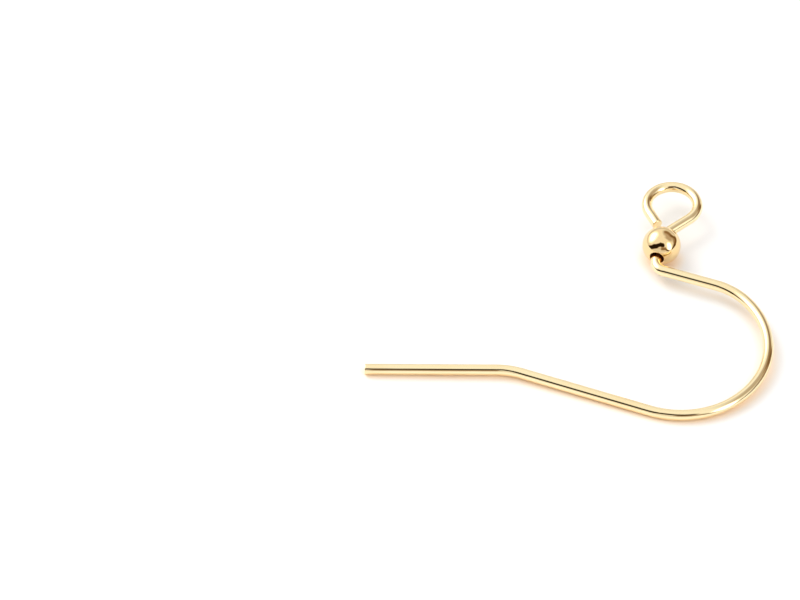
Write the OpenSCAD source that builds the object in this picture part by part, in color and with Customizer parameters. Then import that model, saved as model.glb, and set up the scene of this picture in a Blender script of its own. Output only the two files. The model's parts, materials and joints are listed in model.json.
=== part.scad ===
// Ball ear wire: one piece of round wire, bent to a fish-hook and curled into an open loop,
// with a small drilled bead that is loose between the leg's bend and the loop's stem.
// It lies on its side, as it would on a table: the tail's tip, the crown and the bead touch the table.
// Lengths are in millimetres and angles in degrees. Z is up, the tail runs along X, and the bead and
// loop are on the +Y side. The origin is on the table, at the centre of the part's outline.

/* [Wire] */
// Thickness of the wire
wire_d = 0.6; // [0.4:0.05:0.9]

/* [Tail] */
// Straight length of the tail, from its cut tip to its bend
tail_length = 7.2; // [4:0.1:10]
// Inner radius of the bend that flares the tail
tail_bend_r = 3.7; // [1:0.1:8]
// Angle by which the tail is flared
tail_bend_a = 21; // [5:1:35]

/* [Shank] */
// Straight length of the shank, between the tail's bend and the crown
shank_length = 7.4; // [5:0.1:10]

/* [Crown] */
// Inner radius of the crown where the shank runs into it
crown_start_r = 4.4; // [3:0.1:6]
// Angle of the crown's first arc
crown_start_a = 63; // [50:1:70]
// Inner radius of the crown over its middle
crown_middle_r = 5; // [4:0.1:7]
// Angle of the crown's middle arc
crown_middle_a = 85; // [75:1:92]
// Inner radius of the crown where it runs into the leg
crown_end_r = 3.5; // [2.5:0.1:5]
// Angle of the crown's last arc
crown_end_a = 33; // [20:1:40]

/* [Leg] */
// Straight length of the leg, from the crown to its sharp bend
leg_length = 3; // [1.5:0.1:5]
// Inner radius of the sharp bend under the bead
leg_bend_r = 0.4; // [0.1:0.05:0.6]
// Angle of the sharp bend under the bead
leg_bend_a = 86; // [75:1:95]
// Straight wire left showing between that bend and the bead's hole
leg_gap = 0.1; // [0.1:0.05:1]

/* [Bead] */
// Diameter of the bead
bead_d = 2.15; // [1.6:0.05:3]
// Gap all round between a centred wire and the bead's hole
hole_clearance = 0.1; // [0.08:0.01:0.2]
// Gap left under the wire where it rests in the bead's hole
seat_gap = 0.04; // [0.03:0.01:0.06]

/* [Loop] */
// How far inside the bead's mouth the stem starts to bend
stem_inset = 0.1; // [0:0.01:0.15]
// Inner radius of the bend where the stem leaves the bead
stem_bend_r = 0.2; // [0.15:0.05:0.6]
// Angle by which the stem leans away from the bead's axis
stem_bend_a = 34; // [25:1:50]
// Diameter of the hole that the loop encloses
loop_hole_d = 2.24; // [1.6:0.02:3]
// Distance of the loop's centre from the bead's axis
loop_offset = 0.25; // [0:0.05:0.4]
// Straight end that the loop runs out to
loop_end = 1; // [0.4:0.1:1.3]
// Gap that the loop leaves open, between the middle of its cut end and the stem
loop_gap = 0.5; // [0.4:0.05:0.8]

/* [Hidden] */
$fn = 96;

wire_r = wire_d / 2;

// Neighbouring stretches of the wire run into each other, so that they join as one solid. Each rod
// starts a lap inside the bend before it, and a bend is a hair thinner than the rods at its ends.
rod_lap = 0.01;
bend_thinning = 0.001;

bead_r = bead_d / 2;
hole_r = wire_r + hole_clearance;

// Half of the drilled hole's length, between the two rims where it meets the ball
hole_half = sqrt(bead_r * bead_r - hole_r * hole_r);

// The wire lies low in the hole, so the bead's centre is this far above the wire's
bead_rise = hole_clearance - seat_gap;

// The stem reaches as far as the loop needs, for the loop's centre to be loop_offset from the bead's axis
loop_r = loop_hole_d / 2 + wire_r;
stem_r = stem_bend_r + wire_r;
stem_length = (loop_r * cos(stem_bend_a) - stem_r * (1 - cos(stem_bend_a)) - loop_offset)
    / sin(stem_bend_a);

// The loop's sweep and its straight end stop where the cut end is loop_gap away from the stem
end_from_centre = norm([loop_r, loop_end]);
end_angle = acos((loop_r - wire_r - loop_gap) / end_from_centre);
loop_sweep = 360 - end_angle - atan2(loop_end, loop_r);

// The bending table, in the order in which the wire is fed from the tail's tip. Each row is a straight
// stretch and a bend with its inner radius and its angle, which is positive to the left.
FEED = 0;
BEND_R = 1;
BEND_A = 2;
HOOK = [
    // straight               inner radius    angle
    [tail_length,             tail_bend_r,    -tail_bend_a],
    [shank_length,            crown_start_r,  crown_start_a],
    [0,                       crown_middle_r, crown_middle_a],
    [0,                       crown_end_r,    crown_end_a],
    [leg_length,              leg_bend_r,     -leg_bend_a],
    [leg_gap + hole_half,     0,              0],
];
CURL = [
    // straight               inner radius     angle
    [hole_half - stem_inset,  stem_bend_r,     -stem_bend_a],
    [stem_length,             loop_hole_d / 2, loop_sweep],
    [loop_end,                0,               0],
];
WIRE = concat(HOOK, CURL);

// Moves and turns as matrices, to find where the wire goes
function shift(v) = [[1, 0, 0, v.x], [0, 1, 0, v.y], [0, 0, 1, v.z], [0, 0, 0, 1]];
function spin_x(a) = [[1, 0, 0, 0], [0, cos(a), -sin(a), 0], [0, sin(a), cos(a), 0], [0, 0, 0, 1]];
function spin_z(a) = [[cos(a), -sin(a), 0, 0], [sin(a), cos(a), 0, 0], [0, 0, 1, 0], [0, 0, 0, 1]];

// Vector from the wire to the centre of a row's bend, which is on its left for a positive angle
function to_centre(row) = [0, sign(row[BEND_A]) * (row[BEND_R] + wire_r), 0];

// Place on the wire after a row's straight and an angle of its bend, seen from the row's start
function along(row, angle) =
    shift([row[FEED], 0, 0] + to_centre(row)) * spin_z(angle) * shift(-to_centre(row));

// Place where a row starts, seen from the tail's tip
function start_of(rows, count) =
    count == 0 ? shift([0, 0, 0]) : start_of(rows, count - 1) * along(rows[count - 1], rows[count - 1][BEND_A]);

// Places along all bends, with the tail's tip first
BEND_STEPS = 48;
function places(rows) = [
    shift([0, 0, 0]),
    for (k = [0 : len(rows) - 1])
        for (step = [0 : BEND_STEPS])
            start_of(rows, k) * along(rows[k], rows[k][BEND_A] * step / BEND_STEPS)
];
function point(place) = [for (axis = [0 : 2]) place[axis][3]];
function heading(place) = [for (axis = [0 : 2]) place[axis][0]];

// On the table the wire touches at the tail's tip and where the line from the tip just meets the crown.
// The bead lifts the rest: the hook's plane tilts about that line until the bead touches the table too.
crown_points = [for (place = places(HOOK)) let (p = point(place)) if (p.x > tail_length) p];
support_a = min([for (p = crown_points) atan2(p.y, p.x)]);
bead_point = point(start_of(HOOK, len(HOOK)));
bead_distance = bead_point.y * cos(support_a) - bead_point.x * sin(support_a);
tilt_a = asin((bead_r - wire_r) / norm([bead_distance, bead_rise])) - atan2(bead_rise, bead_distance);

// The lowest and highest reach of the lying wire along X or Y, which centre the part on its origin
lying = [for (place = places(WIRE)) spin_z(support_a) * spin_x(tilt_a) * spin_z(-support_a) * place];
function reach(axis, way) = [
    for (place = lying) point(place)[axis] + way * wire_r * sqrt(1 - pow(heading(place)[axis], 2))
];
centre = [for (axis = [0, 1]) (min(reach(axis, -1)) + max(reach(axis, 1))) / 2];

// Lays children that are modelled in the hook's own plane on the table
module lay_down() {
    translate([-centre.x, -centre.y, wire_r])
        rotate([0, 0, support_a])
            rotate([tilt_a, 0, 0])
                rotate([0, 0, -support_a])
                    children();
}

// Moves children from a row's start to its end
module follow(row) {
    translate([row[FEED], 0, 0] + to_centre(row))
        rotate([0, 0, row[BEND_A]])
            translate(-to_centre(row))
                children();
}

// One row of the bending table: a straight rod from a lap before the row's start, then its bend
module rod_and_bend(row, lap) {
    translate([-lap, 0, 0])
        rotate([0, 90, 0])
            cylinder(r = wire_r, h = row[FEED] + lap);
    if (row[BEND_A] != 0)
        translate([row[FEED], 0, 0] + to_centre(row))
            rotate([0, 0, -90 * sign(row[BEND_A])])
                rotate_extrude(angle = row[BEND_A])
                    translate([row[BEND_R] + wire_r, 0])
                        circle(r = wire_r - bend_thinning);
}

// The whole wire, each row carried by the one before it
module bent_wire(rows, k = 0) {
    if (k < len(rows)) {
        rod_and_bend(rows[k], k == 0 ? 0 : rod_lap);
        follow(rows[k])
            bent_wire(rows, k + 1);
    }
}

// Moves children from the tail's tip to the place that a number of rows reach
module at_row(rows, count, k = 0) {
    if (k < count)
        follow(rows[k])
            at_row(rows, count, k + 1)
                children();
    else
        children();
}

module ear_wire() {
    color([0.94, 0.80, 0.53])
        lay_down()
            bent_wire(WIRE);
}

// A ball drilled through, resting on the table with the wire low in its hole
module ball_bead() {
    color([0.90, 0.74, 0.46])
        lay_down()
            at_row(HOOK, len(HOOK))
                translate([0, 0, bead_rise])
                    rotate([0, 90, 0])
                        difference() {
                            sphere(r = bead_r);
                            cylinder(r = hole_r, h = 2 * bead_d, center = true);
                        }
}

ear_wire();
ball_bead();
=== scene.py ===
# %% [markdown]
# # A ball-bead ear wire
# The object is the plainest of earring findings. One length of thin gold-plated wire is bent to a
# fish-hook and curled into an open loop, and a small drilled bead is loose on it. It lies on its side
# on a white table. The solid model already has the true sizes, so it is loaded first and never moved.
# Each piece made below is laid exactly over it, in metres, and takes its place from the loaded model.

# %% Load the solid model
import json
from collections import namedtuple
from math import acos, atan2, ceil, cos, degrees, hypot, pi, radians, sin, sqrt

import bmesh
import bpy
from mathutils import Matrix, Vector

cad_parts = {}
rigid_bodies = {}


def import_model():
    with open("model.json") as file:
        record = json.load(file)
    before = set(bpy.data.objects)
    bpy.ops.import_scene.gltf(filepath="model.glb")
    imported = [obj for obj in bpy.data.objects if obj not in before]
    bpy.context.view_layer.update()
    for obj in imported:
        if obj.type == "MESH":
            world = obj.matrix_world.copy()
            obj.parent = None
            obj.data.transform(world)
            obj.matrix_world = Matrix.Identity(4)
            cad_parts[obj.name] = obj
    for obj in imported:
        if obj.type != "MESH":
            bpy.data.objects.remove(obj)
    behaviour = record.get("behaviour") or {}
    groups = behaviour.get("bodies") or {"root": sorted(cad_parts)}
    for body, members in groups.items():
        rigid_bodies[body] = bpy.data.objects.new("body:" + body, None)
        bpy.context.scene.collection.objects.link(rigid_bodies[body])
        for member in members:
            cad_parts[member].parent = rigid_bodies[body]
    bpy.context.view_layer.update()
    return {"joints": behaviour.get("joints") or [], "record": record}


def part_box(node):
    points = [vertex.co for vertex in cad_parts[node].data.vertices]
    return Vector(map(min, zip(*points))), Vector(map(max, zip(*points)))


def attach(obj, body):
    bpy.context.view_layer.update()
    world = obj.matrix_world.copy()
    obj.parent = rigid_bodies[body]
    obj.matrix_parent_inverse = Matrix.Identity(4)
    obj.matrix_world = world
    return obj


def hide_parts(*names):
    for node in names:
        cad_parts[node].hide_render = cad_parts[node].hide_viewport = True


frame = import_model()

MM = 0.001
mounts = {mount["name"]: mount for mount in frame["record"]["mounts"]}

# %% [markdown]
# ## Camera
# A photograph of small jewellery is taken from well back with a long lens, so that nothing looks bulged
# by perspective. The camera here looks down at 44 degrees from 300 mm away. Its lens follows from how
# many pixels of the 800 pixel wide picture one millimetre takes at the middle, which is 18. Working
# from that number, and not from a lens by feel, keeps the framing when the distance is changed.

# %% Camera
PICTURE_WIDTH = 800
PIXELS_PER_MM = 18
SENSOR_WIDTH = 36
camera_distance = 300 * MM
camera_elevation = radians(44.2)
camera_heading = radians(1.05)
camera_aim = Vector((-9.385, 0.444, 0)) * MM

camera_data = bpy.data.cameras.new("photo_camera")
camera_data.sensor_width = SENSOR_WIDTH
camera_data.lens = SENSOR_WIDTH * PIXELS_PER_MM * camera_distance / MM / PICTURE_WIDTH
camera_data.clip_start = camera_distance / 10
camera = bpy.data.objects.new("photo_camera", camera_data)
bpy.context.scene.collection.objects.link(camera)
bpy.context.scene.camera = camera

camera_look = Vector((
    -sin(camera_heading) * cos(camera_elevation),
    cos(camera_heading) * cos(camera_elevation),
    -sin(camera_elevation),
))
camera.location = camera_aim - camera_look * camera_distance
camera.rotation_euler = camera_look.to_track_quat("-Z", "Y").to_euler()
print("lens in mm:", round(camera_data.lens, 1))

# %% [markdown]
# ## Node trees written as sums
# Materials, the light around the object and Geometry Nodes are all trees of nodes. Placing each node
# by hand makes long scripts that hide the idea. One small class is enough to avoid that: it holds a
# socket, and Python's own signs on it add the Math nodes, so that a mask reads as `1 - wear * 0.5`.

# %% Sockets that can be added and multiplied
class Amount:
    """One socket of a node tree, or the tree alone where nothing is made yet."""

    def __init__(self, tree, socket=None):
        self.tree = tree
        self.socket = socket

    def node(self, kind, settings=None, values=None, output=0):
        """Adds any node: its settings first, then the values or links of its sockets."""
        node = self.tree.nodes.new(kind)
        for name, value in (settings or {}).items():
            setattr(node, name, value)
        for name, value in (values or {}).items():
            socket = node.inputs[name] if isinstance(name, int) else named(node.inputs, name)
            if isinstance(value, Amount):
                self.tree.links.new(value.socket, socket)
            else:
                socket.default_value = value
        if not node.outputs:
            return None
        found = node.outputs[output] if isinstance(output, int) else named(node.outputs, output)
        return Amount(self.tree, found)

    def also(self, name):
        """Another output of the same node."""
        return Amount(self.tree, named(self.socket.node.outputs, name))

    def maths(self, operation, *others):
        values = dict(enumerate((self, *others)))
        return self.node("ShaderNodeMath", {"operation": operation}, values)

    def __add__(self, other):
        return self.maths("ADD", other)

    def __radd__(self, other):
        return self.maths("ADD", other)

    def __mul__(self, other):
        return self.maths("MULTIPLY", other)

    def __rmul__(self, other):
        return self.maths("MULTIPLY", other)

    def __sub__(self, other):
        return self.maths("SUBTRACT", other)

    def __rsub__(self, other):
        return self.node("ShaderNodeMath", {"operation": "SUBTRACT"}, {0: other, 1: self})

    def __truediv__(self, other):
        return self.maths("DIVIDE", other)

    def fade(self, low, high):
        """0 at low and 1 at high, with soft ends. It falls where low is the larger."""
        settings = {"interpolation_type": "SMOOTHSTEP"}
        return self.node("ShaderNodeMapRange", settings, {0: self, 1: low, 2: high})

    def blend(self, first, second):
        """A colour between two colours, where self is 0 at the first and 1 at the second."""
        values = {"Factor_Float": self, "A_Color": first, "B_Color": second}
        return self.node("ShaderNodeMix", {"data_type": "RGBA"}, values, "Result_Color")


def named(sockets, name):
    """The socket with that identifier or name."""
    return next(socket for socket in sockets if name in (socket.identifier, socket.name))


# %% [markdown]
# ## The line that the wire follows
# The real wire is bent on a machine that feeds it straight and bends it round a pin. A short table of
# those steps is therefore the truest drawing of it. Each row below is one feed and one bend, written in
# millimetres and degrees, from the tail's cut tip. The wire's thickness, its tail and the size of its
# loop come from the solid model's mounts, and the bead's place from its joint. The other numbers are
# those of the solid model, so that the finer wire lies exactly over the solid one.

# %% The bending table
tail = mounts["tail_pin"]
ring = mounts["drop_loop"]
spin = next(joint for joint in frame["joints"] if joint["name"] == "bead_spin")
wire_radius = tail["dims"]["r_mm"] * MM
tail_length = tail["dims"]["length_mm"] * MM
loop_radius = ring["dims"]["r_mm"] * MM + wire_radius

bead_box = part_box("ball_bead")
bead_radius = (bead_box[1].z - bead_box[0].z) / 2
bead_centre = Vector(spin["pos_m"])
bead_axis = Vector(spin["axis"]).normalized()
hole_clearance = 0.1 * MM
hole_radius = wire_radius + hole_clearance
hole_half = sqrt(bead_radius**2 - hole_radius**2)

# How much straight wire shows in front of the bead, and how far inside its other mouth the stem bends
leg_gap = 0.1 * MM
stem_inset = 0.1 * MM

# The stem's bend, the loop's distance from the bead's axis, its straight end and the gap that it leaves
stem_inner_radius = 0.2 * MM
stem_angle = radians(34)
loop_offset = 0.25 * MM
loop_end = 1.0 * MM
loop_gap = 0.5 * MM

# The stem is as long as the loop's centre needs, and the loop stops short of the stem by its gap
stem_radius = stem_inner_radius + wire_radius
stem_length = loop_radius * cos(stem_angle) - stem_radius * (1 - cos(stem_angle)) - loop_offset
stem_length /= sin(stem_angle)
end_angle = acos((loop_radius - wire_radius - loop_gap) / hypot(loop_radius, loop_end))
loop_sweep = 2 * pi - end_angle - atan2(loop_end, loop_radius)

Bend = namedtuple("Bend", "straight inner_radius angle")
bending_table = [
    Bend(tail_length, 3.7 * MM, radians(-21)),
    Bend(7.4 * MM, 4.4 * MM, radians(63)),
    Bend(0, 5.0 * MM, radians(85)),
    Bend(0, 3.5 * MM, radians(33)),
    Bend(3.0 * MM, 0.4 * MM, radians(-86)),
    Bend(leg_gap + 2 * hole_half - stem_inset, stem_radius - wire_radius, -stem_angle),
    Bend(stem_length, loop_radius - wire_radius, loop_sweep),
    Bend(loop_end, 0, 0),
]
print("rows in the bending table:", len(bending_table))

# %% [markdown]
# ## From the table to points
# A matrix follows the wire's end as it leaves the machine: a feed moves it along its own X, and a bend
# swings it round a centre at its side. Points are set down on the way, close together in the bends, so
# that the swept surface stays round. The first matrix stands at the tail's tip and lies in the wire's
# plane, which holds both the tail and the bead's axis.

# %% Points along the wire
STEP_ANGLE = radians(2.5)
LEAST_STEPS = 10
ROD_STEP = 0.5 * MM


def bent_points(table, place):
    """The points of the wire's middle line, from the tip's place and the bending table."""
    points = [place.translation.copy()]
    for bend in table:
        rod_steps = ceil(bend.straight / ROD_STEP)
        for step in range(1, rod_steps + 1):
            points.append(place @ Vector((bend.straight * step / rod_steps, 0, 0)))
        place = place @ Matrix.Translation((bend.straight, 0, 0))
        if bend.angle == 0:
            continue
        side = 1 if bend.angle > 0 else -1
        to_centre = Matrix.Translation((0, side * (bend.inner_radius + wire_radius), 0))
        arc_steps = max(LEAST_STEPS, ceil(abs(bend.angle) / STEP_ANGLE))
        for step in range(1, arc_steps + 1):
            swing = Matrix.Rotation(bend.angle * step / arc_steps, 4, "Z")
            points.append((place @ to_centre @ swing @ to_centre.inverted()).translation)
        place = place @ to_centre @ Matrix.Rotation(bend.angle, 4, "Z") @ to_centre.inverted()
    return points


tail_heading = -Vector(tail["axis"]).normalized()
tip = Vector(tail["pos_m"]) - tail_heading * tail_length / 2
plane_up = tail_heading.cross(bead_axis).normalized()
tip_turn = Matrix((tail_heading, plane_up.cross(tail_heading), plane_up)).transposed()
tip_place = Matrix.Translation(tip) @ tip_turn.to_4x4()
wire_points = bent_points(bending_table, tip_place)
print("points:", len(wire_points))

# %% [markdown]
# ## Cut ends
# A cutter leaves a flat end whose rim is not quite sharp, because tumbling and plating round it a
# little. The sweep below gets that from a scale that shrinks near both ends, so a few extra points are
# put there for it to act on.

# %% Extra points at the cut ends
rim_radius = 0.05 * MM
RIM_STEPS = 6


def with_rim(points):
    """The same points, with more of them close behind the first one."""
    first = points[0]
    way = (points[1] - first).normalized()
    quarter = [pi / 2 * step / RIM_STEPS for step in range(1, RIM_STEPS + 1)]
    rim = [first + way * rim_radius * (1 - cos(angle)) for angle in quarter]
    return [first, *rim, *points[1:]]


wire_points = with_rim(wire_points)
wire_points = with_rim(wire_points[::-1])[::-1]
wire_length = sum((b - a).length for a, b in zip(wire_points, wire_points[1:]))
print("wire length in mm:", round(wire_length / MM, 2))

# %% [markdown]
# ## Sweeping the wire with Geometry Nodes
# The wire could be a curve with a round bevel, but a node tree says more. It carries a circle along the
# line, shrinks it at the ends, and writes two attributes on the surface. `along` is the distance from
# the tip, and `around` is the direction on the circle from its middle outwards. The drawn metal's fine
# lines follow the wire through every bend only because the material can read these two.

# %% The tree that sweeps a wire
WIRE_SIDES = 48


def new_tree(name, inputs):
    """A Geometry Nodes tree with named inputs, and the Amounts that stand for them."""
    tree = bpy.data.node_groups.new(name, "GeometryNodeTree")
    for title, kind, value in inputs:
        socket = tree.interface.new_socket(title, in_out="INPUT", socket_type=kind)
        if value is not None:
            socket.default_value = value
    tree.interface.new_socket("Geometry", in_out="OUTPUT", socket_type="NodeSocketGeometry")
    start = Amount(tree).node("NodeGroupInput")
    return tree, {title: start.also(title) for title, kind, value in inputs}


def sweep_tree():
    tree, given = new_tree("sweep_a_wire", [
        ("Geometry", "NodeSocketGeometry", None),
        ("Wire radius", "NodeSocketFloat", wire_radius),
        ("Rim radius", "NodeSocketFloat", rim_radius),
        ("Sides", "NodeSocketInt", WIRE_SIDES),
        ("Finish", "NodeSocketMaterial", None),
    ])
    make = Amount(tree).node
    line = make("GeometryNodeMeshToCurve", values={"Mesh": given["Geometry"]})
    here = make("GeometryNodeSplineParameter", output="Length")
    from_end = here.maths("MINIMUM", make("GeometryNodeSplineLength") - here)

    # A quarter circle at each cut end: the scale falls by rim radius over wire radius
    share = (from_end / given["Rim radius"]).maths("MINIMUM", 1)
    drop = 1 - (1 - (1 - share) * (1 - share)).maths("SQRT")
    scale = 1 - drop * given["Rim radius"] / given["Wire radius"]

    line = make("GeometryNodeStoreNamedAttribute", {"data_type": "FLOAT", "domain": "POINT"},
                {"Geometry": line, "Name": "along", "Value": here})
    circle = make("GeometryNodeCurvePrimitiveCircle",
                  values={"Resolution": given["Sides"], "Radius": given["Wire radius"]})
    outwards = make("ShaderNodeVectorMath", {"operation": "NORMALIZE"},
                    {0: make("GeometryNodeInputPosition")})
    circle = make("GeometryNodeStoreNamedAttribute", {"data_type": "FLOAT_VECTOR", "domain": "POINT"},
                  {"Geometry": circle, "Name": "around", "Value": outwards})
    skin = make("GeometryNodeCurveToMesh",
                values={"Curve": line, "Profile Curve": circle, "Scale": scale, "Fill Caps": True})
    skin = make("GeometryNodeSetShadeSmooth", values={"Geometry": skin, "Shade Smooth": True})
    skin = make("GeometryNodeRealizeInstances", values={"Geometry": skin})
    skin = make("GeometryNodeSetMaterial", values={"Geometry": skin, "Material": given["Finish"]})
    make("NodeGroupOutput", values={"Geometry": skin})
    return tree


sweep = sweep_tree()
print("nodes in the sweep:", len(sweep.nodes))

# %% [markdown]
# ## What the fine lines are made of
# Gold plate copies the metal under it. On drawn wire that is a skin of faint lines along its length,
# from the die, and on a tumbled bead it is a scatter of fine rubs. Both are noise that is stretched one
# way. The plate itself is never one even tone: where it is thinner it is paler, and where it is thicker,
# redder. Roughness and bump carry the lines, and base colour carries the tone.

# %% Gold plate
WIRE_TONES = ((0.975, 0.815, 0.50, 1), (0.96, 0.775, 0.455, 1))
BEAD_TONES = ((0.92, 0.69, 0.37, 1), (0.88, 0.63, 0.31, 1))
# The bore's dark coppery colour is painted shade in the hole
BORE_PAINTED_SHADE = (0.58, 0.22, 0.06, 1)

# What the lines, the wear and the bore's wall add to the roughness of the polish
LINE_ROUGHNESS = 0.06
WEAR_ROUGHNESS = 0.05
BORE_ROUGHNESS = 0.45

# How many times a line is longer than it is wide, and how many marks there are in a metre
LINE_STRETCH = 30
LINE_SCALE = 30 / MM
TONE_SCALE = 0.35 / MM
WEAR_SCALE = 2.2 / MM


def noise(at, vector, scale, detail=3.0, roughness=0.5):
    """Noise from 0 to 1, at a scale in marks per unit of the vector."""
    values = {"Vector": vector, "Scale": scale, "Detail": detail, "Roughness": roughness}
    return at.node("ShaderNodeTexNoise", {"noise_dimensions": "3D"}, values, "Fac")


def plated(name, tones, lines, tone, wear, polish, line_height, bore=None):
    """Polished gold plate. Each pattern is a function that makes an Amount from 0 to 1 in the tree."""
    material = bpy.data.materials.new(name)
    material.use_nodes = True
    tree = material.node_tree
    tree.nodes.clear()
    start = Amount(tree)
    lines, tone, wear = (pattern(start) for pattern in (lines, tone, wear))
    colour = tone.blend(*tones)
    roughness = polish + LINE_ROUGHNESS * lines.fade(0.45, 0.75) + WEAR_ROUGHNESS * wear
    if bore:
        inside = bore(start)
        # The bore's wall takes a painted shade, dark coppery brown, and more roughness
        colour = inside.blend(colour, BORE_PAINTED_SHADE)
        roughness = roughness + inside * BORE_ROUGHNESS
    bump = start.node("ShaderNodeBump", values={
        "Strength": 1.0, "Distance": line_height, "Height": lines,
    })
    metal = start.node("ShaderNodeBsdfPrincipled", values={
        "Base Color": colour, "Metallic": 1.0, "Roughness": roughness, "Normal": bump,
    })
    start.node("ShaderNodeOutputMaterial", values={"Surface": metal})
    return material


def stretched(at, vector, factors):
    """A vector whose three parts are each multiplied by a factor."""
    return at.node("ShaderNodeVectorMath", {"operation": "MULTIPLY"}, {0: vector, 1: factors})


def wire_skin(at):
    """Along the wire in X and round it in Y and Z, all in metres, so that nothing shears in a bend."""
    along = at.node("ShaderNodeAttribute", {"attribute_name": "along"}, output="Fac")
    around = at.node("ShaderNodeAttribute", {"attribute_name": "around"}, output="Vector")
    parts = at.node("ShaderNodeSeparateXYZ", values={0: around})
    return at.node("ShaderNodeCombineXYZ", values={
        0: along, 1: parts.also("X") * wire_radius, 2: parts.also("Y") * wire_radius,
    })


def drawn_lines(at):
    return noise(at, stretched(at, wire_skin(at), (1 / LINE_STRETCH, 1, 1)), LINE_SCALE)


def plate_tone(at):
    here = at.node("ShaderNodeTexCoord", output="Object")
    return noise(at, here, TONE_SCALE, 2).fade(0.35, 0.7)


def handling_wear(at):
    here = at.node("ShaderNodeTexCoord", output="Object")
    return noise(at, here, WEAR_SCALE, 4).fade(0.55, 0.75)


wire_gold = plated(
    "wire_gold", WIRE_TONES, drawn_lines, plate_tone, handling_wear,
    polish=0.06, line_height=0.0003 * MM,
)
print("wire's finish has", len(wire_gold.node_tree.nodes), "nodes")

# %% [markdown]
# ## Making the wire
# The points become a mesh of bare edges, the tree turns that into a tube, and the result is kept as a
# plain mesh, with no modifier left on it.

# %% The wire
def finished_mesh(name, base, tree, values):
    """A plain object with the mesh that a Geometry Nodes tree makes from a base mesh."""
    source = bpy.data.objects.new(name + "_line", base)
    bpy.context.scene.collection.objects.link(source)
    modifier = source.modifiers.new("nodes", "NODES")
    modifier.node_group = tree
    for title, value in values.items():
        item = next(item for item in tree.interface.items_tree if item.name == title)
        modifier[item.identifier] = value
    evaluated = source.evaluated_get(bpy.context.evaluated_depsgraph_get())
    mesh = bpy.data.meshes.new_from_object(evaluated)
    bpy.data.objects.remove(source)
    piece = bpy.data.objects.new(name, mesh)
    bpy.context.scene.collection.objects.link(piece)
    return piece


line_mesh = bpy.data.meshes.new("wire_line")
line_mesh.from_pydata(wire_points, [(k, k + 1) for k in range(len(wire_points) - 1)], [])
bent_wire = finished_mesh("bent_wire", line_mesh, sweep, {
    "Wire radius": wire_radius, "Rim radius": rim_radius, "Sides": WIRE_SIDES,
    "Finish": wire_gold,
})
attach(bent_wire, "wire")
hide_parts("ear_wire")
print("wire faces:", len(bent_wire.data.polygons))

# %% [markdown]
# ## The bead
# The bead is a ball with a drilled hole, and the hole's lips are slightly rolled. One outline has all
# of it: a small arc at each lip, a large arc for the ball between them, and the straight bore that
# closes it. Turning that outline about the bore's axis leaves a cleaner mesh than a boolean cut.

# %% The bead's outline, turned about its bore
lip_radius = 0.03 * MM
BALL_STEPS = 72
LIP_STEPS = 8
TURN_STEPS = 128


def bead_outline():
    """Distance along the axis and from the axis, round the outline once."""
    lip_from_axis = hole_radius + lip_radius
    lip_along = sqrt((bead_radius - lip_radius)**2 - lip_from_axis**2)
    lip_angle = atan2(lip_along, lip_from_axis)
    ball = [lip_angle - 2 * lip_angle * step / BALL_STEPS for step in range(BALL_STEPS + 1)]
    outline = [(bead_radius * sin(angle), bead_radius * cos(angle)) for angle in ball]
    for end in (-1, 1):
        # Each lip turns from the ball's own slope into the bore
        angles = [lip_angle + (pi - lip_angle) * step / LIP_STEPS for step in range(LIP_STEPS + 1)]
        lip = [(end * (lip_along + lip_radius * sin(angle)), lip_from_axis + lip_radius * cos(angle))
               for angle in angles]
        outline = outline + lip[1:] if end < 0 else lip[::-1][:-1] + outline
    return outline


def turned(name, outline, centre, axis):
    """A closed mesh: the outline turned about the axis, in place."""
    form = bmesh.new()
    rings = []
    for step in range(TURN_STEPS):
        angle = 2 * pi * step / TURN_STEPS
        rings.append([form.verts.new((x, r * cos(angle), r * sin(angle))) for x, r in outline])
    for ring_a, ring_b in zip(rings, rings[1:] + rings[:1]):
        for k in range(len(outline)):
            after = (k + 1) % len(outline)
            form.faces.new((ring_a[k], ring_a[after], ring_b[after], ring_b[k]))
    bmesh.ops.recalc_face_normals(form, faces=form.faces)
    lay = Vector((1, 0, 0)).rotation_difference(axis).to_matrix().to_4x4()
    form.transform(Matrix.Translation(centre) @ lay)
    mesh = bpy.data.meshes.new(name)
    form.to_mesh(mesh)
    form.free()
    mesh.shade_smooth()
    piece = bpy.data.objects.new(name, mesh)
    bpy.context.scene.collection.objects.link(piece)
    return piece


outline = bead_outline()
drilled_ball = turned("drilled_ball", outline, bead_centre, bead_axis)
print("bead faces:", len(drilled_ball.data.polygons))

# %% [markdown]
# ## The bead's finish
# A bead is tumbled with hundreds of others, so its rubs run every way and are very fine, and its polish
# is higher than the wire's. Two stretched noises at different tilts stand in for the rubs. A drilled
# hole is another matter: tumbling never reaches its wall, so the bore is rough. Its wall is also painted
# a dark coppery brown, which is painted shade in the hole. The distances from the bead's axis and along
# it tell the bore from the ball.

# %% Tumbled gold
RUB_TILTS = ((0.3, 0.9, 0.2), (1.2, -0.5, 1.9))
RUB_STRETCH = 12
RUB_SCALE = 26 / MM


def tumbled_rubs(at):
    here = at.node("ShaderNodeTexCoord", output="Object")
    total = 0
    for turn in RUB_TILTS:
        tilted = at.node("ShaderNodeMapping", values={"Vector": here, "Rotation": turn})
        rubs = noise(at, stretched(at, tilted, (1 / RUB_STRETCH, 1, 1)), RUB_SCALE)
        total = rubs * 0.5 + total
    return total


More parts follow.
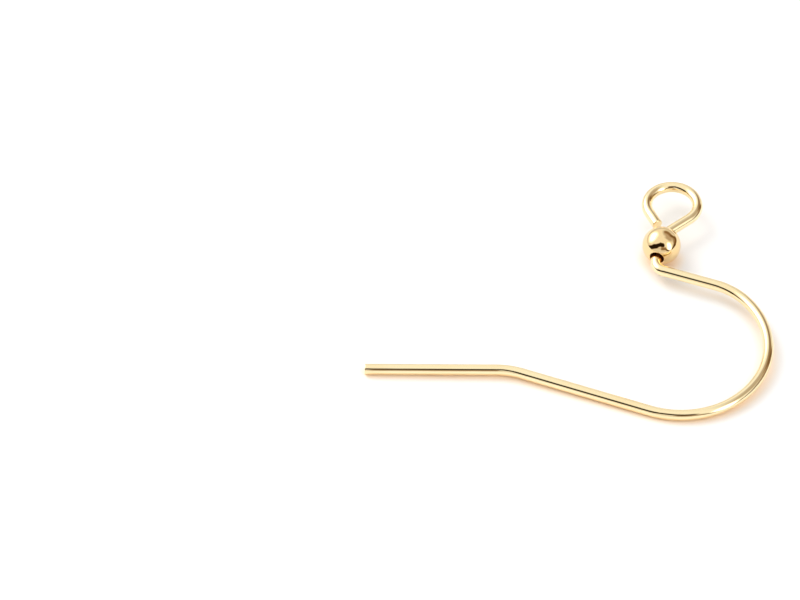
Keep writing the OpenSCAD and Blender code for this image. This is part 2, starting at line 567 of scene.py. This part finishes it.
def bore_wall(at):
    """1 on the wall of the bead's bore and 0 on the ball, by the distances from its axis and along it."""
    def vectors(operation, values, output=0):
        return at.node("ShaderNodeVectorMath", {"operation": operation}, values, output)

    here = at.node("ShaderNodeTexCoord", output="Object")
    arm = vectors("SUBTRACT", {0: here, 1: bead_centre})
    across = vectors("CROSS_PRODUCT", {0: arm, 1: bead_axis})
    from_axis = vectors("LENGTH", {0: across}, "Value")
    along_axis = vectors("DOT_PRODUCT", {0: arm, 1: bead_axis}, "Value")
    near_axis = from_axis.fade(hole_radius + lip_radius, hole_radius + 0.2 * lip_radius)
    return near_axis * along_axis.maths("ABSOLUTE").fade(hole_half, hole_half - lip_radius)


bead_gold = plated(
    "bead_gold", BEAD_TONES, tumbled_rubs, plate_tone, handling_wear,
    polish=0.04, line_height=0.0002 * MM, bore=bore_wall,
)
drilled_ball.data.materials.append(bead_gold)
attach(drilled_ball, "bead")
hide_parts("ball_bead")
print("bead's finish has", len(bead_gold.node_tree.nodes), "nodes")

# %% [markdown]
# ## The table
# The wire lies on a plain white card. It is large, so that no edge of it shows from any side. Polished
# gold throws warm light on white card right beside it. A few samples find little of that light, so it is
# painted: the card's colour turns to a painted warm glow of bounced light where something stands close
# over it.

# %% Table
table_half = 1.5
FLECK_SCALE = 0.5 / MM
painted_bounce_reach = 0.75 * MM
# The colour of the painted bounce light from the gold, on the card close under the wire
PAINTED_BOUNCE_WARMTH = (1.0, 0.84, 0.68, 1)
WHITE_PAPER = ((0.88, 0.88, 0.89, 1), (0.90, 0.90, 0.91, 1))

table_mesh = bpy.data.meshes.new("table")
corners = [(x * table_half, y * table_half, 0) for x, y in ((-1, -1), (1, -1), (1, 1), (-1, 1))]
table_mesh.from_pydata(corners, [], [(0, 1, 2, 3)])
table = bpy.data.objects.new("table", table_mesh)
bpy.context.scene.collection.objects.link(table)

card = bpy.data.materials.new("white_card")
card.use_nodes = True
paper = Amount(card.node_tree)
card.node_tree.nodes.clear()
fleck = noise(paper, paper.node("ShaderNodeTexCoord", output="Object"), FLECK_SCALE, 4)
paper_white = fleck.blend(*WHITE_PAPER)
# Where something stands close over the card, its colour turns to the painted warm bounce light
open_sky = paper.node("ShaderNodeAmbientOcclusion", {"samples": 8}, {"Distance": painted_bounce_reach}, "AO")
card_colour_with_painted_bounce = open_sky.fade(0.4, 1.0).blend(PAINTED_BOUNCE_WARMTH, paper_white)
board = paper.node("ShaderNodeBsdfPrincipled", values={
    "Base Color": card_colour_with_painted_bounce, "Roughness": 0.9, "Specular IOR Level": 0.1,
})
paper.node("ShaderNodeOutputMaterial", values={"Surface": board})
table_mesh.materials.append(card)
print("table:", 2 * table_half, "m wide")

# %% [markdown]
# ## The light
# Polished metal shows the room, not itself. The bright bands on the wire are the white tent round the
# table. The thin dark line is the gap at the front through which the camera looks, and the bead shows
# the whole tent at once. So the world is painted by direction, as the tent is built: bright overhead, a
# large lamp behind on the left, a window at the front right, and dark gaps and folds between them.

# %% The tent, by direction
world = bpy.data.worlds.new("light_tent")
bpy.context.scene.world = world
world.use_nodes = True
world.node_tree.nodes.clear()
sky = Amount(world.node_tree)
way = sky.node("ShaderNodeSeparateXYZ", values={0: sky.node("ShaderNodeTexCoord", output="Generated")})
TO_DEGREES = degrees(1)
azimuth = way.also("X").maths("ARCTAN2", way.also("Y") * -1) * TO_DEGREES
elevation = way.also("Z").maths("ARCSINE") * TO_DEGREES

# Each stroke runs from one direction to another, in degrees, with a half width, a soft edge and a
# brightness. Azimuth is 0 at the camera's side and grows towards +X, and elevation is 0 at the horizon.
Stroke = namedtuple("Stroke", "azimuth elevation azimuth_end elevation_end half_width edge level")
tent = [
    Stroke(-180, 4, -150, 4, 10, 16, 0.70),
    Stroke(146, 4, 180, 4, 10, 16, 0.70),
    Stroke(-132, 40, -104, 38, 14, 36, 4.2),
    Stroke(100, 50, 150, 44, 22, 22, 0.55),
    Stroke(96, 14, 118, 24, 10, 14, 0.42),
    Stroke(124, 34, 156, 40, 10, 12, 0.30),
    Stroke(118, 6, 124, 30, 7, 9, 0.20),
    Stroke(82, 6, 122, 7, 8, 8, 0.20),
    Stroke(56, 2, 88, 4, 6, 5, 0.12),
    Stroke(50, 17, 55, 33, 13, 14, 3.6),
    Stroke(24, 18, 48, -4, 4.5, 6, 0.08),
    Stroke(0, 24, 21, 22, 9, 8, 0.30),
    Stroke(-26, 24, -10, 24, 6, 8, 0.75),
    Stroke(-78, -4, -52, 23, 10.5, 6, 0.02),
    Stroke(-54, 23, -38, 32, 13.5, 6, 0.02),
    Stroke(-34, 38, -14, 48, 12, 6, 0.02),
    Stroke(-14, 48, 11, 45, 12.5, 6, 0.02),
]
HORIZON_GLOW = 0.84
OVERHEAD_GAIN = 0.20
OVERHEAD_FROM = 35
DARK_TINT = (1.0, 0.58, 0.24, 1)
BRIGHT_TINT = (0.99, 1.0, 1.0, 1)

glow = elevation.fade(0, OVERHEAD_FROM) * OVERHEAD_GAIN + HORIZON_GLOW
for stroke in tent:
    # How far along the stroke the nearest point of it lies, from 0 to 1
    run, rise = stroke.azimuth_end - stroke.azimuth, stroke.elevation_end - stroke.elevation
    squared = run**2 + rise**2
    aside, above = azimuth - stroke.azimuth, elevation - stroke.elevation
    share = aside * (run / squared) + above * (rise / squared)
    share = share.maths("MAXIMUM", 0).maths("MINIMUM", 1)

    # Inside the stroke's width its own brightness takes the place of what was painted before
    aside, above = aside - share * run, above - share * rise
    off = (aside * aside + above * above).maths("SQRT")
    inside = off.fade(stroke.half_width + stroke.edge / 2, stroke.half_width - stroke.edge / 2)
    glow = glow + (stroke.level - glow) * inside

# The dark parts of the tent are brown, as the dark lines in the photographed gold are
tint = glow.fade(0.05, 0.9).blend(DARK_TINT, BRIGHT_TINT)
tent_light = sky.node("ShaderNodeBackground", values={"Color": tint, "Strength": glow})
sky.node("ShaderNodeOutputWorld", values={"Surface": tent_light})
print("strokes in the tent:", len(tent))

# %% [markdown]
# ## The lamps
# A world that is bright all round gives nearly no shadows, so three area lamps light the card. Each one
# is hidden from glossy rays, so the metal mirrors only the tent and the lamps add no highlights to it.
# The key lamp stands to the back left and casts the thin shadow in front of the wire. The front lamp
# fills that shadow, and the overhead lamp lifts the card to a clean white. A lamp's size sets how soft
# its shadow is, which is why the key lamp is the smallest.

# %% Three soft lamps, for the shadows
LAMP_DISTANCE = 0.5


def soft_lamp(name, azimuth, elevation, width, energy, colour):
    """A round lamp that lights the table but isn't mirrored in the metal."""
    data = bpy.data.lights.new(name, "AREA")
    data.shape = "DISK"
    data.size = width
    data.energy = energy
    data.color = colour
    lamp = bpy.data.objects.new(name, data)
    bpy.context.scene.collection.objects.link(lamp)
    way = Vector((sin(azimuth) * cos(elevation), -cos(azimuth) * cos(elevation), sin(elevation)))
    lamp.location = way * LAMP_DISTANCE
    lamp.rotation_euler = (-way).to_track_quat("-Z", "Y").to_euler()
    lamp.visible_glossy = False


# Azimuth and elevation, width in metres, power in watts and colour
soft_lamp("key_lamp", radians(-135), radians(52), 0.28, 0.19, (1.06, 1.0, 0.90))
soft_lamp("front_lamp", radians(10), radians(38), 0.6, 0.50, (1.0, 0.97, 0.94))
soft_lamp("overhead_lamp", radians(180), radians(75), 0.9, 0.50, (0.98, 1.0, 1.04))
print("lamps:", sum(each.type == "LIGHT" for each in bpy.data.objects))

# The plain view keeps white card white, where a film-like one would grey it
bpy.context.scene.view_settings.view_transform = "Standard"
bpy.context.scene.view_settings.look = "None"
